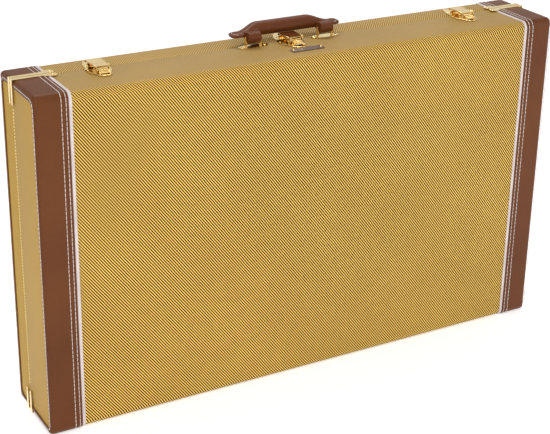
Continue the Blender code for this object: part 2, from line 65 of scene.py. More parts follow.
EDGE_X = 0.009                  # roundings of the case's edges, as in the frame
EDGE_Z = 0.014
EDGE_Y = 0.012
CORNER = 0.007
EDGE_STEPS = 12
CORNER_STEPS = 6
LEATHER = 0.0012
WINDOW_FRONT = 0.008
WINDOW_REAR = 0.015
WINDOW_ENDS = 0.011
WINDOW_RADIUS = 0.010
GROOVE = 0.0056
PIPING_STEPS = 10
COVER = 0.0008                  # thickness of the tweed
LIP = 0.0003                    # the tweed's edge turns in by this at the rim
SMALLEST_ROUNDING = 0.002
SMALLEST_CORNER = 0.0006
FAR = 1.0                       # beyond the case in any direction, for cutters
BODY = {"front": "front_half", "rear": "rear_half"}
SIGN = {"left": -1, "right": 1}
LATCHES = ("left_latch", "centre_latch", "right_latch")

STITCH_RADIUS = 0.00055
STITCH_PITCH = 0.0074
STITCH_ROWS = (0.0425, 0.0500)  # distance of the two rows from the case's end
STITCH_WANDER = 0.0001
PANEL_ROW = 0.0042              # the row round the end panel lies this far outside the window


# ---- Node helpers --------------------------------------------------------------------------
class Look:
    """A material under construction: makes nodes and links with little writing."""

    def __init__(self, name, roughness, metallic=0.0, specular=0.5):
        self.made = bpy.data.materials.new(name)
        self.made.use_nodes = True
        self.tree = self.made.node_tree
        self.shader = self.tree.nodes["Principled BSDF"]
        self.shader.inputs["Roughness"].default_value = roughness
        self.shader.inputs["Metallic"].default_value = metallic
        self.shader.inputs["Specular IOR Level"].default_value = specular

    def node(self, kind, **settings):
        made = self.tree.nodes.new("ShaderNode" + kind)
        for key, value in settings.items():
            setattr(made, key, value)
        return made

    def link(self, source, target):
        self.tree.links.new(source, target)

    def math(self, operation, a, b=None):
        made = self.node("Math", operation=operation)
        for socket, value in zip(made.inputs, (a, b)):
            if value is None:
                continue
            if isinstance(value, (int, float)):
                socket.default_value = value
            else:
                self.link(value, socket)
        return made.outputs[0]

    def noise(self, coordinates, scale, detail=3.0, roughness=0.55):
        made = self.node("TexNoise")
        made.inputs["Scale"].default_value = scale
        made.inputs["Detail"].default_value = detail
        made.inputs["Roughness"].default_value = roughness
        self.link(coordinates, made.inputs["Vector"])
        return made.outputs["Fac"]

    def ramp(self, value, stops):
        made = self.node("ValToRGB")
        points = made.color_ramp.elements
        while len(points) < len(stops):
            points.new(0.5)
        for point, (place, colour) in zip(points, stops):
            point.position = place
            point.color = (*colour, 1.0)
        self.link(value, made.inputs["Fac"])
        return made.outputs["Color"]

    def bump(self, height, strength, distance, normal=None):
        made = self.node("Bump")
        made.inputs["Strength"].default_value = strength
        made.inputs["Distance"].default_value = distance
        self.link(height, made.inputs["Height"])
        if normal is not None:
            self.link(normal, made.inputs["Normal"])
        self.link(made.outputs["Normal"], self.shader.inputs["Normal"])
        return made.outputs["Normal"]

    def colour(self, source):
        self.link(source, self.shader.inputs["Base Color"])

    def rough(self, value, low, high):
        made = self.node("MapRange")
        made.inputs["To Min"].default_value = low
        made.inputs["To Max"].default_value = high
        self.link(value, made.inputs["Value"])
        self.link(made.outputs["Result"], self.shader.inputs["Roughness"])


def srgb(red, green, blue):
    """Screen colour, 0 to 255, to the linear values that a shader takes."""
    def linear(value):
        share = value / 255
        return share / 12.92 if share <= 0.04045 else ((share + 0.055) / 1.055) ** 2.4
    return linear(red), linear(green), linear(blue)


# ---- Materials -------------------------------------------------------------------------------
STRIPE = 0.00354                # width of one light and one dark stripe together
STRIPE_TILT = math.radians(52.6)


def tweed_look():
    """Lacquered twill: light and dark yarns in diagonal stripes, on the cloth's own UV in metres; top and
    ends fade to painted flat tones of light and shade.
    """
    look = Look("tweed", 0.5, specular=0.22)
    place = look.node("UVMap", uv_map="cloth").outputs["UV"]
    split = look.node("SeparateXYZ")
    look.link(place, split.inputs[0])
    across, up = split.outputs[0], split.outputs[1]
    wander = look.noise(place, 55.0, 2.0)
    shift = look.math("MULTIPLY", look.math("SUBTRACT", wander, 0.5), 0.0009)
    slanted = look.math("ADD", look.math("MULTIPLY", across, math.sin(STRIPE_TILT)),
                        look.math("MULTIPLY", up, math.cos(STRIPE_TILT)))
    phase = look.math("MULTIPLY", look.math("ADD", slanted, shift), 2 * math.pi / STRIPE)
    stripe = look.math("ADD", look.math("MULTIPLY", look.math("SINE", phase), 0.5), 0.5)
    pick = look.math("SINE", look.math("MULTIPLY", across, 2 * math.pi / 0.0011))
    end = look.math("SINE", look.math("MULTIPLY", up, 2 * math.pi / 0.0011))
    yarn = look.math("MULTIPLY", look.math("MULTIPLY", pick, end), 0.06)
    mottle = look.math("MULTIPLY", look.math("SUBTRACT", look.noise(place, 700.0, 2.0), 0.5), 0.12)
    tone = look.math("ADD", stripe, look.math("ADD", yarn, mottle))
    stripes = look.ramp(tone, ((0.53, srgb(30, 8, 0)), (0.61, srgb(150, 96, 22)),
                               (0.71, srgb(255, 210, 98))))
    # Painted shade: by the way a face points, the top and the ends fade towards flat tones of their own.
    # These stand for the light and shade on those faces, and for stripes too fine to see at a slant.
    facing = look.node("SeparateXYZ")
    look.link(look.node("TexCoord").outputs["Normal"], facing.inputs[0])
    ends = look.math("ABSOLUTE", facing.outputs[0])
    aside = look.math("SUBTRACT", 1.0, look.math("ABSOLUTE", facing.outputs[1]))
    painted_face_share = look.math("MULTIPLY", aside, look.math("ADD", 0.76, look.math("MULTIPLY", ends, 0.16)))
    # The painted flat tones: A is the top's lit tone, B the ends' lit tone.
    plain = look.node("Mix", data_type="RGBA")
    plain.inputs["A"].default_value = (*srgb(168, 136, 80), 1.0)
    plain.inputs["B"].default_value = (*srgb(186, 145, 50), 1.0)
    look.link(ends, plain.inputs["Factor"])
    painted_face_tone = look.node("Mix", data_type="RGBA")
    look.link(painted_face_share, painted_face_tone.inputs["Factor"])
    look.link(stripes, painted_face_tone.inputs["A"])
    look.link(plain.outputs["Result"], painted_face_tone.inputs["B"])
    colour = painted_face_tone.outputs["Result"]
    age = look.noise(place, 6.0, 4.0)
    tint = look.node("Mix", data_type="RGBA", blend_type="MULTIPLY")
    tint.inputs["Factor"].default_value = 1.0
    look.link(colour, tint.inputs["A"])
    look.link(look.ramp(age, ((0.3, (0.90, 0.88, 0.84)), (0.7, (1.0, 1.0, 1.0)))), tint.inputs["B"])
    look.colour(tint.outputs["Result"])
    look.rough(tone, 0.62, 0.42)
    look.bump(tone, 0.5, 0.0003)
    return look.made


def leather_look(name, base, shade, roughness, grain=850.0):
    """Smooth finished leather with fine grain, slight mottling and soft creases."""
    look = Look(name, roughness, specular=0.22)
    place = look.node("TexCoord").outputs["Object"]
    cloud = look.noise(place, 9.0, 5.0)
    fine = look.noise(place, 260.0, 3.0)
    blend = look.math("ADD", look.math("MULTIPLY", cloud, 0.75), look.math("MULTIPLY", fine, 0.25))
    look.colour(look.ramp(blend, ((0.35, shade), (0.65, base))))
    cells = look.node("TexVoronoi", feature="DISTANCE_TO_EDGE")
    cells.inputs["Scale"].default_value = grain
    look.link(place, cells.inputs["Vector"])
    pores = look.math("MINIMUM", cells.outputs["Distance"], 0.25)
    first = look.bump(pores, 0.22, 0.00015)
    look.bump(look.noise(place, 45.0, 4.0), 0.10, 0.0010, first)
    look.rough(fine, roughness - 0.06, roughness + 0.10)
    return look.made


def thread_look(name, base, shade):
    """Twisted white thread or woven piping."""
    look = Look(name, 0.6, specular=0.3)
    place = look.node("TexCoord").outputs["Object"]
    twist = look.noise(place, 1400.0, 2.0)
    cloud = look.noise(place, 30.0, 3.0)
    blend = look.math("ADD", look.math("MULTIPLY", twist, 0.5), look.math("MULTIPLY", cloud, 0.5))
    look.colour(look.ramp(blend, ((0.35, shade), (0.60, base))))
    look.bump(twist, 0.25, 0.00015)
    return look.made


def brass_look():
    """Polished, lacquered brass with faint smears and fine scratches."""
    look = Look("polished_brass", 0.12, metallic=1.0)
    place = look.node("TexCoord").outputs["Object"]
    smear = look.noise(place, 60.0, 4.0)
    stretched = look.node("Mapping")
    stretched.inputs["Scale"].default_value = (1.0, 14.0, 6.0)
    look.link(place, stretched.inputs["Vector"])
    scratch = look.noise(stretched.outputs["Vector"], 300.0, 2.0)
    look.colour(look.ramp(smear, ((0.3, (0.82, 0.56, 0.20)), (0.7, (0.95, 0.76, 0.38)))))
    look.rough(look.math("MULTIPLY", smear, scratch), 0.04, 0.26)
    look.bump(scratch, 0.04, 0.0002)
    return look.made


def steel_look():
    look = Look("steel_pin", 0.3, metallic=1.0)
    place = look.node("TexCoord").outputs["Object"]
    brushed = look.noise(place, 700.0, 2.0)
    look.colour(look.ramp(brushed, ((0.3, (0.42, 0.42, 0.43)), (0.7, (0.62, 0.62, 0.63)))))
    look.rough(brushed, 0.22, 0.42)
    return look.made


def plush_look():
    """Short crushed pile: soft sheen and patches where the pile lies another way."""
    look = Look("plush", 0.95, specular=0.15)
    look.shader.inputs["Sheen Weight"].default_value = 0.6
    look.shader.inputs["Sheen Roughness"].default_value = 0.35
    look.shader.inputs["Sheen Tint"].default_value = (0.75, 0.25, 0.28, 1.0)
    place = look.node("TexCoord").outputs["Object"]
    crushed = look.noise(place, 18.0, 5.0, 0.6)
    pile = look.noise(place, 1100.0, 2.0)
    blend = look.math("ADD", look.math("MULTIPLY", crushed, 0.65), look.math("MULTIPLY", pile, 0.35))
    look.colour(look.ramp(blend, ((0.35, srgb(66, 8, 14)), (0.65, srgb(128, 22, 32)))))
    first = look.bump(pile, 0.5, 0.0006)
    look.bump(crushed, 0.15, 0.002, first)
    return look.made


def plywood_look():
    """Birch plywood: thin plies at the edges and a faint grain along the length."""
    look = Look("plywood", 0.55)
    place = look.node("TexCoord").outputs["Object"]
    stretched = look.node("Mapping")
    stretched.inputs["Scale"].default_value = (2.0, 40.0, 40.0)
    look.link(place, stretched.inputs["Vector"])
    grain = look.noise(stretched.outputs["Vector"], 6.0, 5.0)
    look.colour(look.ramp(grain, ((0.3, srgb(168, 122, 76)), (0.7, srgb(214, 176, 126)))))
    look.bump(grain, 0.15, 0.0003)
    return look.made


def plate_look():
    """Dark lacquered plate, blank."""
    look = Look("nameplate", 0.22, specular=0.7)
    place = look.node("TexCoord").outputs["Object"]
    cloud = look.noise(place, 120.0, 4.0)
    look.colour(look.ramp(cloud, ((0.3, srgb(88, 66, 60)), (0.7, srgb(118, 94, 88)))))
    look.rough(cloud, 0.15, 0.32)
    look.bump(look.noise(place, 900.0, 2.0), 0.05, 0.0001)
    return look.made


TWEED = tweed_look()
CAP_LEATHER = leather_look("cap_leather", srgb(101, 54, 16), srgb(91, 46, 12), 0.42)
HANDLE_LEATHER = leather_look("handle_leather", srgb(108, 56, 24), srgb(84, 42, 16), 0.36, 700.0)
PIPING = thread_look("piping", srgb(214, 202, 200), srgb(192, 178, 174))
THREAD = thread_look("white_thread", srgb(228, 218, 212), srgb(196, 180, 170))
SEAM_DOT = thread_look("seam_yarn", srgb(250, 238, 190), srgb(226, 206, 140))
BRASS = brass_look()
STEEL = steel_look()
PLUSH = plush_look()
PLYWOOD = plywood_look()
PLATE = plate_look()
DARK = leather_look("dark_gap", srgb(40, 22, 12), srgb(24, 12, 6), 0.7)


# ---- Mesh helpers ------------------------------------------------------------------------------
def finish_mesh(name, mesh_builder, look, body=None, smooth_angle=40.0):
    """Turn a mesh builder into an object, and put it on a body if one is given."""
    bmesh.ops.recalc_face_normals(mesh_builder, faces=mesh_builder.faces)
    mesh = bpy.data.meshes.new(name)
    mesh_builder.to_mesh(mesh)
    mesh_builder.free()
    mesh.shade_smooth()
    mesh.set_sharp_from_angle(angle=math.radians(smooth_angle))
    mesh.materials.append(look)
    made = bpy.data.objects.new(name, mesh)
    bpy.context.scene.collection.objects.link(made)
    if body is not None:
        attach(made, body)
    return made


def stands_for(made, body, node):
    """The piece rides on a body in place of one CAD node."""
    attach(made, body)
    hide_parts(node)
    return made


def copy_of(node, name, look):
    """A copy of a CAD node's mesh in the row frame, free to be changed."""
    source = NODES[node]
    made = source.copy()
    made.data = source.data.copy()
    made.name = name
    made.data.transform(source.matrix_world)
    made.parent = None
    made.matrix_world = Matrix.Identity(4)
    bpy.context.scene.collection.objects.link(made)
    paint(made, look)
    return made


def paint(made, look):
    made.data.materials.clear()
    made.data.materials.append(look)


def add_loft(mesh_builder, rings):
    """Join closed rings of equal length into one capped body."""
    rows = [[mesh_builder.verts.new(point) for point in ring] for ring in rings]
    count = len(rows[0])
    for row, following in zip(rows, rows[1:]):
        for index in range(count):
            after = (index + 1) % count
            mesh_builder.faces.new((row[index], row[after], following[after], following[index]))
    mesh_builder.faces.new(rows[0][::-1])
    mesh_builder.faces.new(rows[-1])
    return rows


def arc(centre, radius, start, end, steps):
    angles = [math.radians(start + (end - start) * k / steps) for k in range(steps + 1)]
    return [(centre[0] + radius * math.cos(a), centre[1] + radius * math.sin(a)) for a in angles]


def rounded_rectangle(low, high, radius, steps):
    x0, y0 = low
    x1, y1 = high
    points = arc((x1 - radius, y0 + radius), radius, -90, 0, steps)
    points += arc((x1 - radius, y1 - radius), radius, 0, 90, steps)
    points += arc((x0 + radius, y1 - radius), radius, 90, 180, steps)
    points += arc((x0 + radius, y0 + radius), radius, 180, 270, steps)
    return points


def along(axis, value, a, b):
    if axis == "X":
        return Vector((value, a, b))
    if axis == "Y":
        return Vector((a, value, b))
    return Vector((a, b, value))


def add_prism(mesh_builder, outline, axis, low, high):
    add_loft(mesh_builder, [[along(axis, value, a, b) for a, b in outline] for value in (low, high)])


def cutter(outline, axis, low, high):
    mesh_builder = bmesh.new()
    add_prism(mesh_builder, outline, axis, low, high)
    return finish_mesh("cutter", mesh_builder, DARK)


def cut(target, others):
    """Take the other bodies out of the target, and remove them."""
    for other in others:
        modifier = target.modifiers.new("cut", "BOOLEAN")
        modifier.operation = "DIFFERENCE"
        modifier.object = other
        modifier.solver = "EXACT"
        apply_modifiers(target)
        bpy.data.objects.remove(other, do_unlink=True)


def apply_modifiers(target):
    bpy.context.view_layer.update()
    graph = bpy.context.evaluated_depsgraph_get()
    mesh = bpy.data.meshes.new_from_object(target.evaluated_get(graph))
    target.modifiers.clear()
    target.data = mesh


def soften(target, width, segments=2, angle=40.0):
    """Bevel the sharp edges of a piece or CAD node with a modifier."""
    modifier = target.modifiers.new("soften", "BEVEL")
    modifier.width = width
    modifier.segments = segments
    modifier.limit_method = "ANGLE"
    modifier.angle_limit = math.radians(angle)
    modifier.harden_normals = True


# ---- The wrapped surface of one half -------------------------------------------------------------
def half_wall(half, inset, rim_shift=0.0):
    """Rings of the rounded surface at an inset, from the face to the rim, as lists of points."""
    side = SIDE[half]
    depth, soft_x, soft_z = (max(edge - inset, SMALLEST_ROUNDING) for edge in (EDGE_Y, EDGE_X, EDGE_Z))
    rings = []
    for step in range(EDGE_STEPS + 1):
        angle = math.pi / 2 * step / EDGE_STEPS
        y = FACE_Y[half] + side * (inset + depth * (1 - math.cos(angle)))
        rise = 1 - math.sin(angle)
        rings.append(ring_at(inset + soft_x * rise, inset + soft_z * rise, y))
    rings.append(ring_at(inset, inset, RIM_Y[half] - side * rim_shift))
    return rings


def ring_at(inset_x, inset_z, y):
    """One rounded outline of the case at a depth."""
    half_x = HALF_LENGTH - inset_x
    radius = max(CORNER - min(inset_x, inset_z), SMALLEST_CORNER)
    outline = rounded_rectangle((-half_x, inset_z), (half_x, HEIGHT - inset_z), radius, CORNER_STEPS)
    return [along("Y", y, a, b) for a, b in outline]


def groove():
    """Cutter for the V groove under the split."""
    outline = ((SPLIT_Y - GROOVE, 0), (SPLIT_Y, -GROOVE), (SPLIT_Y + GROOVE, 0), (SPLIT_Y, GROOVE))
    return cutter(outline, "X", -FAR, FAR)


def tweed_cover(half, body):
    """Cloth cover of one half, with the cloth's UV unrolled from the face over every edge."""
    outer = half_wall(half, COVER_IN, COVER)
    lip = ring_at(COVER_IN + LIP, COVER_IN + LIP, RIM_Y[half] - SIDE[half] * 0.0002)
    inner = half_wall(half, COVER_IN + COVER)
    mesh_builder = bmesh.new()
    rows = add_loft(mesh_builder, outer + [lip] + inner[::-1])
    layer = mesh_builder.loops.layers.uv.new("cloth")
    places = unrolled(rows)
    for face in mesh_builder.faces:
        for loop in face.loops:
            loop[layer].uv = places[loop.vert]
    made = finish_mesh(half + "_tweed_cloth", mesh_builder, TWEED)
    cut(made, [groove()])
    stands_for(made, body, half + "_tweed")


def unrolled(rows):
    """Each vertex's place on the flat cloth: its way over the edge, laid out beside the face."""
    normals = []
    for quarter in range(4):
        for step in range(CORNER_STEPS + 1):
            angle = math.radians(-90 + 90 * quarter + 90 * step / CORNER_STEPS)
            normals.append((math.cos(angle), math.sin(angle)))
    travelled = [0.0] * len(rows[0])
    places = {}
    for previous, row in zip([rows[0]] + rows, rows):
        for index, vertex in enumerate(row):
            travelled[index] += (vertex.co - previous[index].co).length
            base = rows[0][index].co
            nx, nz = normals[index]
            places[vertex] = (base.x + nx * travelled[index], base.z + nz * travelled[index])
    return places


def leather_cap(half, end, body):
    """Leather end cap with a window for the end panel."""
    sign = SIGN[end]
    mesh_builder = bmesh.new()
    add_loft(mesh_builder, half_wall(half, 0.0) + half_wall(half, LEATHER)[::-1])
    made = finish_mesh("%s_cap_%s_leather" % (half, end), mesh_builder, CAP_LEATHER)
    low, high = sorted((sign * (HALF_LENGTH - CAP_WIDTH), -sign * FAR))
    trim = cutter(((low, -FAR), (high, -FAR), (high, FAR), (low, FAR)), "Z", -FAR, 2 * FAR)
    near, far = sorted((sign * (HALF_LENGTH - 2 * CORNER), sign * FAR))
    window = cutter(window_outline(0.0, 8), "X", near, far)
    cut(made, [trim, window, groove(), clip_recess(half, end)])
    soften(made, 0.0004, 2, 50.0)
    stands_for(made, body, "%s_cap_%s" % (half, end))


def window_outline(outside, steps):
    """The end panel's window, or the line at a distance outside it."""
    low = (FACE_Y["front"] + WINDOW_FRONT - outside, WINDOW_ENDS - outside)
    high = (FACE_Y["rear"] - WINDOW_REAR + outside, HEIGHT - WINDOW_ENDS + outside)
    return rounded_rectangle(low, high, WINDOW_RADIUS + outside, steps)


def clip_recess(half, end):
    """Cutter for the room that the bottom clip needs, read from the frame."""
    sign = SIGN[end]
    low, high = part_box("clip_bottom_%s_%s" % (end, half))
    reach = low[0] if sign > 0 else high[0]
    x0, x1 = sorted((reach - sign * 0.0003, sign * FAR))
    y0, y1 = low[1] - 0.0008, high[1] + 0.0008
    return cutter(((x0, y0), (x1, y0), (x1, y1), (x0, y1)), "Z", -FAR, 0.0014)


def wrap_line(half, inset):
    """(y, z) along the wrap, from the top rim, over the face, to the bottom rim."""
    rings = half_wall(half, inset)
    top = [(ring[0].y, max(point.z for point in ring)) for ring in rings]
    bottom = [(ring[0].y, min(point.z for point in ring)) for ring in rings]
    return top[::-1] + bottom


def resample(line, spacing):
    """Even points along a polyline with their directions, and the step between them."""
    total = sum((b - a).length for a, b in zip(line, line[1:]))
    count = max(int(total / spacing), 2)
    step = total / count
    points = []
    target = step / 2
    walked = 0.0
    for a, b in zip(line, line[1:]):
        length = (b - a).length
        while target <= walked + length and len(points) < count:
            points.append((a.lerp(b, (target - walked) / length), (b - a).normalized()))
            target += step
        walked += length
    return points, step


STITCH_SECTIONS = ((-0.5, -0.9, 0.55), (-0.40, 0.15, 0.95), (-0.15, 0.35, 1.0),
                   (0.15, 0.35, 1.0), (0.40, 0.15, 0.95), (0.5, -0.9, 0.55))


def add_stitch(mesh_builder, centre, direction, outward, length, radius=STITCH_RADIUS):
    """One sewn stitch: a short thread that dips into its holes at both ends."""
    sideways = direction.cross(outward).normalized()
    rings = []
    for share, lift, size in STITCH_SECTIONS:
        middle = centre + direction * (share * length) + outward * (lift * radius)
        ring = []
        for index in range(6):
            angle = math.pi / 3 * index
            ring.append(middle + radius * size * (sideways * math.cos(angle) + outward * math.sin(angle)))
        rings.append(ring)
    add_loft(mesh_builder, rings)


def cap_stitches(half, end, body):
    """Two rows beside the piping and one row round the tweed end panel."""
    sign = SIGN[end]
    random.seed(half + end)
    mesh_builder = bmesh.new()
    for from_end in STITCH_ROWS:
        points, step = resample([Vector((0.0, y, z)) for y, z in wrap_line(half, 0.0)], STITCH_PITCH)
        for point, direction in points:
            if point.z < 0.004:
                continue
            outward = SIDE[half] * Vector((0.0, direction.z, -direction.y))
            centre = point.copy()
            centre.x = sign * (HALF_LENGTH - from_end) + random.uniform(-STITCH_WANDER, STITCH_WANDER)
            near_clip = abs(point.y - SPLIT_Y) < 0.010 and point.z > 0.1
            if not near_clip:
                add_stitch(mesh_builder, centre, direction, outward, step * 0.92)
    outline = window_outline(PANEL_ROW, 6)
    line = [Vector((sign * HALF_LENGTH, y, z)) for y, z in outline + outline[:1]]
    points, step = resample(line, STITCH_PITCH)
    for point, direction in points:
        own = point.y < SPLIT_Y if half == "front" else point.y > SPLIT_Y
        clear = abs(point.y - SPLIT_Y) > 0.0115
        if own and clear:
            add_stitch(mesh_builder, point, direction, Vector((sign, 0.0, 0.0)), step * 0.88)
    finish_mesh("%s_cap_%s_stitches" % (half, end), mesh_builder, THREAD, body, 60.0)


def piping(half, end, body):
    """Soft rounded piping tucked under the leather's edge."""
    node = "%s_piping_%s" % (half, end)
    low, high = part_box(node)
    x0, x1 = low[0], high[0]
    sections = []
    for step in range(PIPING_STEPS + 1):
        share = step / PIPING_STEPS
        rise = math.sqrt(max(0.0, 1 - (2 * share - 1) ** 2))
        sections.append((x0 + (x1 - x0) * share, rise))
    rings = []
    for inner, outer in zip(wrap_line(half, COVER_IN - 0.0001), wrap_line(half, 0.0)):
        foot, crown = Vector(inner), Vector(outer)
        ring = [Vector((x, *(foot.lerp(crown, 0.15 + 0.85 * rise)))) for x, rise in sections]
        ring += [Vector((x1, *foot)), Vector((x0, *foot))]
        rings.append(ring)
    mesh_builder = bmesh.new()
    add_loft(mesh_builder, rings)
    made = finish_mesh(node + "_roll", mesh_builder, PIPING, smooth_angle=60.0)
    cut(made, [groove(), clip_recess(half, end)])
    stands_for(made, body, node)


# ---- Handle ---------------------------------------------------------------------------------------
GRIP_LOW, GRIP_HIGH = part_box("handle_grip")
HANDLE_LEAN = math.radians(82)
GRIP_RISE = 0.030
GRIP_RADIUS = 0.0117
GRIP_DROP = 0.0135              # the paddles lie this much nearer the axis than the grip
GRIP_BEND = 0.45                # share of the half length where the grip starts to bend down
PADDLE_HALF = 0.0102
GRIP_THINNING = 0.0080          # the paddles are this much thinner than the grip's radius
GRIP_HALF = (GRIP_HIGH[0] - GRIP_LOW[0]) / 2
CENTRE_X = (GRIP_HIGH[0] + GRIP_LOW[0]) / 2
GRIP_STATIONS = 96
GRIP_AROUND = 40
WRINKLE = 0.00025
STRAP_RADIUS = 0.0088
STRAP_BORE = 0.0024
STRAP_NECK = (0.0046, 0.0142)   # half width and reach of the strap where it enters the grip
PADDLE_PITCH = 0.0042


def handle_axis():
    """Frame of the swinging handle: origin on its pivot, Z away from it."""
    joint = next(joint for joint in frame["joints"] if joint["name"] == "handle_swing")
    origin = Vector(joint["pos_m"])
    turn = Matrix.Rotation(-HANDLE_LEAN, 4, "X")
    return Matrix.Translation(origin) @ turn


def grip_size(share):
    """Half thickness, half width and centre height of the grip at a share of its half length."""
    flat = min(1.0, max(0.0, (abs(share) - GRIP_BEND) / 0.40))
    flat = flat * flat * (3 - 2 * flat)
    edge = math.sqrt(max(0.0, 1 - max(0.0, (abs(share) - 0.9) / 0.1) ** 2))
    tip = 0.45 + 0.55 * edge
    half_z = GRIP_RADIUS + (PADDLE_HALF - GRIP_RADIUS) * flat
    return (GRIP_RADIUS - GRIP_THINNING * flat) * tip, half_z * tip, GRIP_RISE - GRIP_DROP * flat


def handle_grip():
    """Padded grip with a pressed seam ridge along its lower side and wrinkles towards the paddles."""
    rings = []
    for step in range(GRIP_STATIONS + 1):
        share = -math.cos(math.pi * step / GRIP_STATIONS)
        half_y, half_z, centre = grip_size(share)
        ring = []
        for index in range(GRIP_AROUND):
            turn = 2 * math.pi * index / GRIP_AROUND
            seam = math.exp(-((math.degrees(turn) - 270) / 9) ** 2)
            wrinkle = WRINKLE * math.sin(share * 130) * math.exp(-((abs(share) - 0.62) / 0.12) ** 2)
            swell = 1 + 0.05 * seam * (abs(share) < 0.8) + wrinkle / GRIP_RADIUS
            across = half_y * math.cos(turn) * swell
            away = centre + half_z * math.sin(turn) * swell
            ring.append(Vector((CENTRE_X + share * GRIP_HALF, across, away)))
        rings.append(ring)
    mesh_builder = bmesh.new()
    add_loft(mesh_builder, rings)
    mesh_builder.transform(handle_axis())
    made = finish_mesh("handle_grip_leather", mesh_builder, HANDLE_LEATHER, smooth_angle=70.0)
    stands_for(made, "handle", "handle_grip")


def paddle_stitches():
    """White stitches round the edge of each paddle, on both faces."""
    mesh_builder = bmesh.new()
    for face in (-1, 1):
        for end in (-1, 1):
            path = []
            for turn in range(-70, 71, 10):
                share = 0.835 + 0.135 * math.cos(math.radians(turn))
                half_y, half_z, centre = grip_size(share)
                spot = math.sin(math.radians(turn)) * 0.80
                across = half_y * math.sqrt(max(0.0, 1 - spot * spot))
                path.append(Vector((CENTRE_X + end * share * GRIP_HALF, face * (across + 0.0001),
                                    centre + half_z * spot)))
            points, step = resample(path, PADDLE_PITCH)
            for point, direction in points:
                add_stitch(mesh_builder, point, direction, Vector((0.0, face, 0.0)), step * 0.8, 0.0004)
    mesh_builder.transform(handle_axis())
    finish_mesh("handle_stitches", mesh_builder, THREAD, "handle", 60.0)


def handle_strap(label):
    """Thick leather loop round the bail's bar that runs up into the grip."""
    node = "handle_strap_" + label
    low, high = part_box(node)
    neck, reach = STRAP_NECK
    profile = arc((0.0, 0.0), STRAP_RADIUS, 90 + 48, 360 + 42, 24) + [(neck, reach), (-neck, reach)]
    mesh_builder = bmesh.new()
    add_prism(mesh_builder, profile, "X", low[0] + 0.0004, high[0] - 0.0004)
    made = finish_mesh(node + "_leather", mesh_builder, HANDLE_LEATHER)
    cut(made, [cutter(arc((0.0, 0.0), STRAP_BORE, 0, 345, 23), "X", -FAR, FAR)])
    made.data.transform(handle_axis())
    soften(made, 0.0006, 3, 35.0)
    stands_for(made, "handle", node)


# ---- Corner clips --------------------------------------------------------------------------------
def corner_clip(level, end, half, body):
    """The frame's brass strap with softened edges."""
    node = "clip_%s_%s_%s" % (level, end, half)
    made = copy_of(node, node + "_strap", BRASS)
    soften(made, 0.0003, 3, 35.0)
    stands_for(made, body, node)


# ---- Padded interior ---------------------------------------------------------------------------
CUSHION_VOXEL = 0.005
SIDE_SWELL = 0.0015             # a cushion may swell this much past its block sideways
MOST_SHIFT = 0.004              # no point of the cover moves further than this
CLOTH_FRAMES = 20


def cushion(node, body, rise):
    """A plump pad in place of a plain block. Its cover is blown up, held near the block and smoothed."""
    low, high = (Vector(corner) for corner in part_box(node))
    made = copy_of(node, node + "_cushion", PLUSH)
    remesh = made.modifiers.new("remesh", "REMESH")
    remesh.mode = "VOXEL"
    remesh.voxel_size = CUSHION_VOXEL
    apply_modifiers(made)
    paint(made, PLUSH)
    inflate(made)
    centre = (low + high) / 2
    reach = (high - low) / 2
    for vertex in made.data.vertices:
        for axis in range(3):
            limit = reach[axis] + (rise if axis == 1 else SIDE_SWELL)
            offset = vertex.co[axis] - centre[axis]
            vertex.co[axis] = centre[axis] + max(-limit, min(limit, offset))
    if body == "front_half":
        for vertex in made.data.vertices:
            vertex.co.y = max(vertex.co.y, low[1])
    smooth = made.modifiers.new("smooth", "SMOOTH")
    smooth.factor = 0.5
    smooth.iterations = 4
    made.data.shade_smooth()
    stands_for(made, body, node)


def inflate(made):
    """Fill the cover by a short cloth simulation, held inside a few millimetres of its block."""
    before = [vertex.co.copy() for vertex in made.data.vertices]
    scene = bpy.context.scene
    cloth = made.modifiers.new("cloth", "CLOTH")
    settings = cloth.settings
    settings.quality = 5
    settings.mass = 0.3
    settings.tension_stiffness = 15
    settings.compression_stiffness = 15
    settings.bending_stiffness = 0.5
    settings.use_pressure = True
    settings.uniform_pressure_force = 4.0
    settings.effector_weights.gravity = 0.0
    cloth.point_cache.frame_start = 1
    cloth.point_cache.frame_end = CLOTH_FRAMES
    for step in range(1, CLOTH_FRAMES + 1):
        scene.frame_set(step)
    apply_modifiers(made)
    scene.frame_set(1)
    paint(made, PLUSH)
    for vertex, start in zip(made.data.vertices, before):
        shift = vertex.co - start
        if shift.length > MOST_SHIFT:
            shift *= MOST_SHIFT / shift.length
        vertex.co = start + shift


# ---- Metal fittings ------------------------------------------------------------------------------
def dress(node, look, width=0.0, angle=30.0):
    """Give a CAD node its finish and soften its edges."""
    target = NODES[node]
    paint(target, look)
    if width:
        soften(target, width, 3, angle)


LATCH_FLOOR = TOP + 0.0003      # underside of the latches' plates
LATCH_WIDTH = 0.040             # base plate of a latch at scale 1
LATCH_PLATE = 0.0014
LEVER_AXIS = (-0.006, 0.006)
LEVER_RADIUS = 0.0036
LEVER_HALF = 0.0082
PIN_BORE = 0.00118
PLUG_Y = -0.0155
PLUG_BORE = 0.0031
TUBE_SIDES = 10
LEVER_STEPS = ((-0.0100, 0.0092), (-0.0104, 0.0076), (-0.0138, 0.0072), (-0.0142, 0.0058),
               (-0.0176, 0.0054), (-0.0180, 0.0042), (-0.0212, 0.0040), (-0.0232, 0.0050),
               (-0.0240, 0.0042), (-0.0218, 0.0024))


def latch_details(name):
    """Finer parts of one latch: its base's rim, its stepped lever and the lips of its hasp."""
    low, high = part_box(name + "_base")
    centre_x = (low[0] + high[0]) / 2
    scale = (high[0] - low[0]) / LATCH_WIDTH
    base_rim(name, centre_x, scale)
    stepped_lever(name, centre_x, scale)
    hasp_lips(name, centre_x, scale)


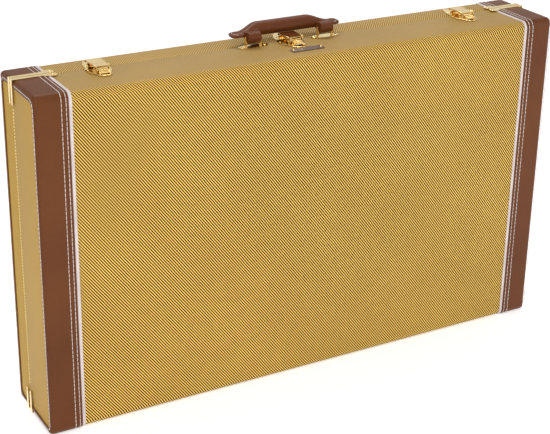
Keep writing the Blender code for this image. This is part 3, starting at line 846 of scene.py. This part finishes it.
def base_rim(name, centre_x, scale):
    """A raised rounded rim round the nose of the base plate."""
    z = LATCH_FLOOR + LATCH_PLATE
    outline = [(centre_x + 0.0182 * scale, 0.006), (centre_x + 0.0178 * scale, -0.002)]
    outline += arc((centre_x, -0.016 * scale), 0.0112 * scale, 0, -180, 20)
    outline += [(centre_x - 0.0178 * scale, -0.002), (centre_x - 0.0182 * scale, 0.006)]
    path = [Vector((a, b, z)) for a, b in outline]
    tube(name + "_rim", path, 0.0011 * scale, BRASS, "front_half")


def hasp_lips(name, centre_x, scale):
    """A rounded lip along each side of the hasp's plate."""
    low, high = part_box(name + "_hasp")
    for sign in (-1, 1):
        x = centre_x + sign * 0.0120 * scale
        places = (low[1] + 0.0045, low[1] + 0.005, high[1] - 0.003, high[1] - 0.0025)
        lip = [Vector((x, y, high[2] + 0.0001)) for y in places]
        tube("%s_hasp_lip_%d" % (name, sign + 1), lip, 0.0006, BRASS,
             name.replace("latch", "hasp"))


def stepped_lever(name, centre_x, scale):
    """The latch lever: a barrel on the pin with a stepped tail that curls up at its tip."""
    origin = Vector((centre_x, 0.0, LATCH_FLOOR))
    axis = tuple(place * scale for place in LEVER_AXIS)
    tail = [(y * scale, z * scale) for y, z in LEVER_STEPS]
    locked = name == "centre_latch"
    mesh_builder = bmesh.new()
    add_prism(mesh_builder, arc(axis, LEVER_RADIUS * scale, -80, 95, 14) + tail, "X",
              -LEVER_HALF * scale, LEVER_HALF * scale)
    made = finish_mesh(name + "_lever_stepped", mesh_builder, BRASS)
    bores = [cutter(arc(axis, PIN_BORE, 0, 345, 23), "X", -FAR, FAR)]
    if locked:
        bores.append(cutter(arc((0.0, PLUG_Y * scale), PLUG_BORE, 0, 352, 31), "Z", -FAR, FAR))
    cut(made, bores)
    made.data.transform(Matrix.Translation(origin))
    soften(made, 0.0004 * scale, 3, 30.0)
    body = name.replace("latch", "lever")
    stands_for(made, body, name + "_lever")
    if locked:
        spot = arc((centre_x, PLUG_Y * scale), 0.0042, 0, 350, 32)
        for height in (0.0076, 0.0064):
            ring = [Vector((a, b, origin.z + height * scale)) for a, b in spot]
            tube("centre_lever_keyhole_ring_%d" % int(height * 1e4), ring, 0.0010, BRASS,
                 body)


def tube(name, path, radius, look, body):
    """A round bar along a flat path, with tapered ends."""
    up = Vector((0.0, 0.0, 1.0))
    last = len(path) - 1
    rings = []
    for index, point in enumerate(path):
        direction = (path[min(index + 1, last)] - path[max(index - 1, 0)]).normalized()
        sideways = direction.cross(up).normalized()
        size = radius * (0.5 if index in (0, last) else 1.0)
        angles = [2 * math.pi * side / TUBE_SIDES for side in range(TUBE_SIDES)]
        rings.append([point + size * (sideways * math.cos(a) + up * math.sin(a)) for a in angles])
    mesh_builder = bmesh.new()
    add_loft(mesh_builder, rings)
    finish_mesh(name, mesh_builder, look, body, 60.0)


YARN_SHAPE = (0.7, 1.0, 1.5, 1.0)
NAIL_SHAPE = (1.0, 1.0, 0.6, 1.0)


def seam_dots(body):
    """Light yarn ends that show along the split on the end faces."""
    first, pitch, last = 0.052, 0.0054, HEIGHT - 0.048
    mesh_builder = bmesh.new()
    for sign in (-1, 1):
        for step in range(int((last - first) / pitch) + 1):
            z = first + step * pitch
            centre = Vector((sign * (HALF_LENGTH - COVER_IN + 0.0001), SPLIT_Y - 0.0011, z))
            bmesh.ops.create_icosphere(mesh_builder, subdivisions=2, radius=0.0012,
                                       matrix=Matrix.Translation(centre) @ Matrix.Diagonal(YARN_SHAPE))
    finish_mesh("seam_yarn_ends", mesh_builder, SEAM_DOT, body, 80.0)


def nameplate_pins():
    """Two small brass nail heads that hold the blank plate."""
    low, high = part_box("nameplate")
    mesh_builder = bmesh.new()
    for x in (low[0] + 0.0035, high[0] - 0.0035):
        place = Matrix.Translation((x, (low[1] + high[1]) / 2, high[2] - 0.0006))
        bmesh.ops.create_icosphere(mesh_builder, subdivisions=3, radius=0.0021,
                                   matrix=place @ Matrix.Diagonal(NAIL_SHAPE))
    finish_mesh("nameplate_pins", mesh_builder, BRASS, "front_half", 80.0)


# ---- Building everything ---------------------------------------------------------------------------
def build_covers():
    """Tweed, leather, stitching, piping and clips of both halves."""
    for half, body in BODY.items():
        tweed_cover(half, body)
        for end in SIGN:
            leather_cap(half, end, body)
            cap_stitches(half, end, body)
            piping(half, end, body)
            for level in ("top", "bottom"):
                corner_clip(level, end, half, body)
    seam_dots("front_half")


def build_handle():
    handle_grip()
    paddle_stitches()
    for label in SIGN:
        handle_strap(label)


def build_interior():
    cushion("body_pad", "front_half", 0.004)
    cushion("body_rail_lower", "front_half", 0.003)
    cushion("body_rail_upper", "front_half", 0.003)
    cushion("neck_rest", "rear_half", 0.003)


def dress_frame():
    """Finishes of the CAD nodes that stay, and the latches' and nameplate's finer parts."""
    for half in BODY:
        dress(half + "_shell", PLYWOOD, 0.0003)
        dress(half + "_lining", PLUSH, 0.0005)
    dress("dust_lip", PLYWOOD, 0.0005)
    for name in LATCHES:
        for part in ("base", "hasp", "catch"):
            dress("%s_%s" % (name, part), BRASS, 0.0005)
        dress(name + "_lever_pin", STEEL, 0.0002)
        latch_details(name)
    dress("lock_plug", BRASS, 0.0002)
    for label in SIGN:
        dress("bail_" + label, BRASS, 0.0004)
        dress("bail_plate_" + label, BRASS, 0.0003)
    for label in ("left", "centre", "right"):
        dress("hinge_%s_front_leaf" % label, BRASS, 0.0002)
        dress("hinge_%s_rear_leaf" % label, BRASS, 0.0002)
        dress("hinge_%s_pin" % label, STEEL)
    dress("nameplate", PLATE, 0.0004)
    nameplate_pins()


build_covers()
build_handle()
build_interior()
dress_frame()


# ---- Floor, light and camera -------------------------------------------------------------------
FLOOR_REACH = 8.0
FLOOR_STEP = 0.12               # deeper than the rear half reaches when the case is open
WORLD_STRENGTH = 0.8
# Brightness of the surroundings by height: dark bands give the brass something to mirror.
WORLD_ZONES = ((0.0, 1.0), (0.30, 1.0), (0.45, 1.0), (0.50, 0.25), (0.64, 0.20), (0.72, 1.0),
               (0.90, 1.0), (0.97, 0.4))


def floor_look():
    look = Look("studio_floor", 0.85, specular=0.1)
    place = look.node("TexCoord").outputs["Object"]
    shades = ((0.0, (0.93, 0.93, 0.93)), (1.0, (0.95, 0.95, 0.95)))
    look.colour(look.ramp(look.noise(place, 3.0), shades))
    look.shader.inputs["Emission Color"].default_value = (1.0, 1.0, 1.0, 1.0)
    look.shader.inputs["Emission Strength"].default_value = 0.38
    return look.made


def studio_floor():
    """A pale floor that steps down behind the hinge, so that the opened lid has room."""
    step_y = SPLIT_Y - 0.0015
    profile = ((-0.75 * FLOOR_REACH, 0.0), (step_y, 0.0), (step_y + 0.002, -FLOOR_STEP),
               (FLOOR_REACH, -FLOOR_STEP))
    mesh_builder = bmesh.new()
    left, right = ([mesh_builder.verts.new((x, y, z)) for y, z in profile]
                   for x in (-FLOOR_REACH, FLOOR_REACH))
    for index in range(len(profile) - 1):
        mesh_builder.faces.new((left[index], right[index], right[index + 1], left[index + 1]))
    finish_mesh("studio_floor", mesh_builder, floor_look(), smooth_angle=10.0)


def area_light(name, place, target, size, power):
    light = bpy.data.lights.new(name, "AREA")
    light.shape = "RECTANGLE"
    light.size, light.size_y = size
    light.energy = power
    made = bpy.data.objects.new(name, light)
    made.location = place
    made.rotation_euler = (Vector(target) - Vector(place)).to_track_quat("-Z", "Y").to_euler()
    bpy.context.scene.collection.objects.link(made)


def studio_world():
    """Pale surroundings with soft dark bands at some heights."""
    world = bpy.data.worlds.new("studio")
    bpy.context.scene.world = world
    world.use_nodes = True
    tree = world.node_tree
    backdrop = tree.nodes["Background"]
    backdrop.inputs["Strength"].default_value = WORLD_STRENGTH
    direction = tree.nodes.new("ShaderNodeTexCoord")
    parts = tree.nodes.new("ShaderNodeSeparateXYZ")
    zones = tree.nodes.new("ShaderNodeValToRGB")
    while len(zones.color_ramp.elements) < len(WORLD_ZONES):
        zones.color_ramp.elements.new(0.5)
    for point, (height, level) in zip(zones.color_ramp.elements, WORLD_ZONES):
        point.position = height
        point.color = (level, level, level, 1.0)
    tree.links.new(direction.outputs["Generated"], parts.inputs[0])
    tree.links.new(parts.outputs[2], zones.inputs["Fac"])
    tree.links.new(zones.outputs["Color"], backdrop.inputs["Color"])


def add_camera():
    scene = bpy.context.scene
    scene.view_settings.view_transform = "Standard"
    settings = bpy.data.cameras.new("camera")
    settings.lens = 90.948
    settings.sensor_width = 36.0
    settings.shift_y = -0.0253
    camera = bpy.data.objects.new("camera", settings)
    camera.location = (-1.1007, -1.8790, 1.2238)
    camera.rotation_euler = tuple(math.radians(angle) for angle in (66.6499, -0.9568, -29.2338))
    scene.collection.objects.link(camera)
    scene.camera = camera


studio_floor()
studio_world()
area_light("key", (-1.2, -2.2, 2.2), (0.0, 0.0, 0.3), (1.6, 1.2), 36.0)
area_light("fill", (2.4, -1.6, 1.2), (0.0, 0.0, 0.3), (1.5, 1.5), 14.0)
area_light("top", (0.2, 0.9, 2.4), (0.0, 0.0, 0.5), (1.8, 0.8), 20.0)
add_camera()
